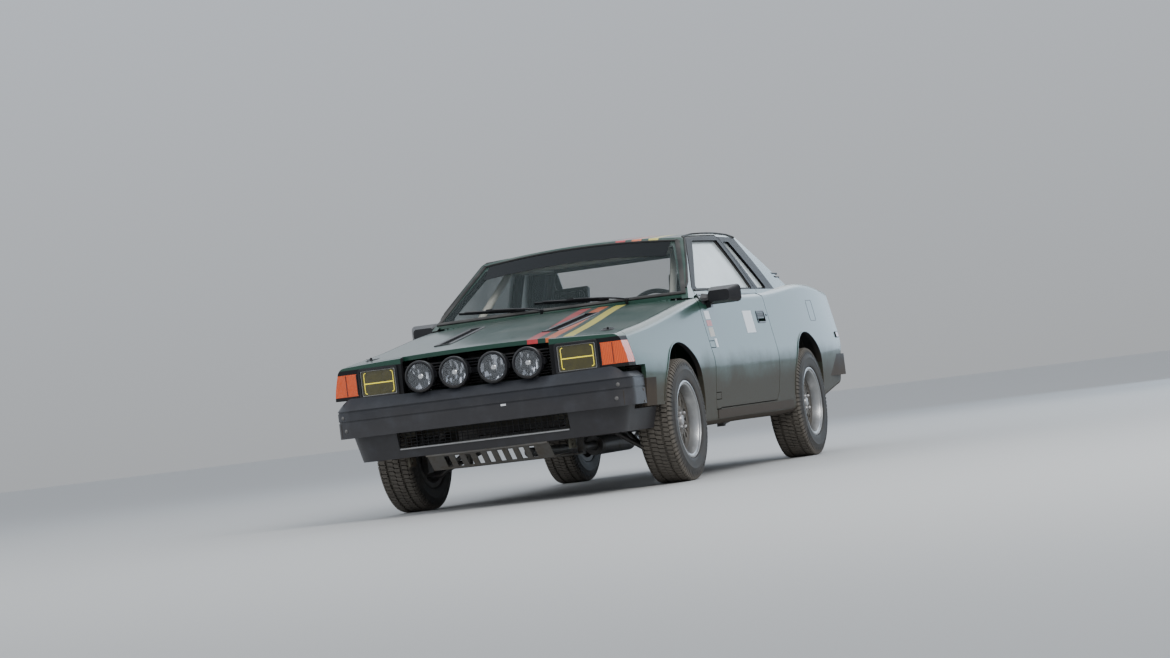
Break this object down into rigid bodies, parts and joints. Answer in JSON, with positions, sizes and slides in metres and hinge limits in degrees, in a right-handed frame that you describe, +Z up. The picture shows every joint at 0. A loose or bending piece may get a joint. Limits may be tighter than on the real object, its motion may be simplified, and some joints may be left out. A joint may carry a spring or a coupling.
{
  "type": "rally car",
  "caption": "Two-door notchback rally car with opening doors, bonnet and boot, steering front wheels, roll cage, bucket seats and driving lamps.",
  "frame": {"origin": "on the ground, midway between the bumpers and on the centre plane", "axes": "+X forward, +Y to the car's left, +Z up"},
  "size_m": [4.4397, 1.938, 1.3774],
  "materials": {
    "alloy": "dusty silver alloy",
    "alloy_plate": "scuffed alloy plate",
    "glass_clear": "clear dusty glass",
    "glass_lamp": "yellow-filmed lamp glass",
    "lamp_amber": "amber lens",
    "lamp_red": "red lens",
    "paint_cage": "off-white painted tube",
    "paint_floor": "dark painted floor",
    "paint_green": "dark green gloss paint, dusty",
    "plastic_black": "textured black plastic, dusty",
    "seat_black": "black woven cover",
    "steel_cast": "cast iron and alloy block",
    "steel_dark": "bare and painted steel",
    "tyre_black": "worn rubber"
  },
  "bodies": {
    "body": {"body_sides": "paint_green", "roof_panel": "paint_green", "floor_pan": "paint_floor", "scuttle": "paint_green", "front_structure": "paint_green", "rear_structure": "paint_green", "front_wings": "paint_green", "nose_panel": "paint_green", "front_bumper": "plastic_black", "skid_plate": "alloy_plate", "headlamp_lenses": "glass_lamp", "corner_lamps": "lamp_amber", "driving_lamps": "plastic_black", "driving_lamp_lenses": "glass_lamp", "rear_bumper": "plastic_black", "tail_lamps": "lamp_red", "windscreen": "glass_clear", "rear_window": "glass_clear", "quarter_windows": "glass_clear", "roll_cage": "paint_cage", "seats": "seat_black", "dashboard": "plastic_black", "engine_block": "steel_cast", "front_crossmember": "steel_dark", "rear_axle": "steel_dark", "rear_links": "steel_dark", "propshaft": "steel_dark", "exhaust": "steel_dark", "fuel_tank": "steel_dark", "wipers": "steel_dark"},
    "door_left": {"door_left": "paint_green", "door_glass_left": "glass_clear", "mirror_left": "plastic_black"},
    "knuckle_left": {"knuckle_left": "steel_dark"},
    "wheel_fl": {"rim_fl": "alloy", "tyre_fl": "tyre_black"},
    "wheel_rl": {"rim_rl": "alloy", "tyre_rl": "tyre_black"},
    "door_right": {"door_right": "paint_green", "door_glass_right": "glass_clear", "mirror_right": "plastic_black"},
    "knuckle_right": {"knuckle_right": "steel_dark"},
    "wheel_fr": {"rim_fr": "alloy", "tyre_fr": "tyre_black"},
    "wheel_rr": {"rim_rr": "alloy", "tyre_rr": "tyre_black"},
    "bonnet": {"bonnet": "paint_green"},
    "boot_lid": {"boot_lid": "paint_green"},
    "steering_wheel": {"steering_wheel": "plastic_black"}
  },
  "joints": [
    {"name": "door_left_hinge", "type": "hinge", "parent": "body", "child": "door_left", "pos_m": [0.72, 0.796, 0.66], "axis": [0, 0, -1], "range_deg": [0, 65]},
    {"name": "steer_left", "type": "hinge", "parent": "body", "child": "knuckle_left", "pos_m": [1.32, 0.672, 0.32], "axis": [0, 0, 1], "range_deg": [-32, 32]},
    {"name": "spin_fl", "type": "hinge", "parent": "knuckle_left", "child": "wheel_fl", "pos_m": [1.32, 0.732, 0.32], "axis": [0, 1, 0], "continuous": true},
    {"name": "spin_rl", "type": "hinge", "parent": "body", "child": "wheel_rl", "pos_m": [-1.18, 0.725, 0.32], "axis": [0, 1, 0], "continuous": true},
    {"name": "door_right_hinge", "type": "hinge", "parent": "body", "child": "door_right", "pos_m": [0.72, -0.796, 0.66], "axis": [0, 0, 1], "range_deg": [0, 65]},
    {"name": "steer_right", "type": "hinge", "parent": "body", "child": "knuckle_right", "pos_m": [1.32, -0.672, 0.32], "axis": [0, 0, 1], "range_deg": [-32, 32]},
    {"name": "spin_fr", "type": "hinge", "parent": "knuckle_right", "child": "wheel_fr", "pos_m": [1.32, -0.732, 0.32], "axis": [0, 1, 0], "continuous": true},
    {"name": "spin_rr", "type": "hinge", "parent": "body", "child": "wheel_rr", "pos_m": [-1.18, -0.725, 0.32], "axis": [0, 1, 0], "continuous": true},
    {"name": "bonnet_hinge", "type": "hinge", "parent": "body", "child": "bonnet", "pos_m": [0.852, 0, 0.955], "axis": [0, -1, 0], "range_deg": [0, 50]},
    {"name": "boot_lid_hinge", "type": "hinge", "parent": "body", "child": "boot_lid", "pos_m": [-1.269, 0, 1.041], "axis": [0, 1, 0], "range_deg": [0, 65]},
    {"name": "steering_wheel_turn", "type": "hinge", "parent": "body", "child": "steering_wheel", "pos_m": [0.17, 0.37, 0.88], "axis": [-0.9272, 0, 0.3746], "range_deg": [-512, 512]}
  ],
  "couplings": [
    {"joint": "steer_right", "follows": "steer_left", "ratio": 1},
    {"joint": "steering_wheel_turn", "follows": "steer_left", "ratio": 16}
  ]
}
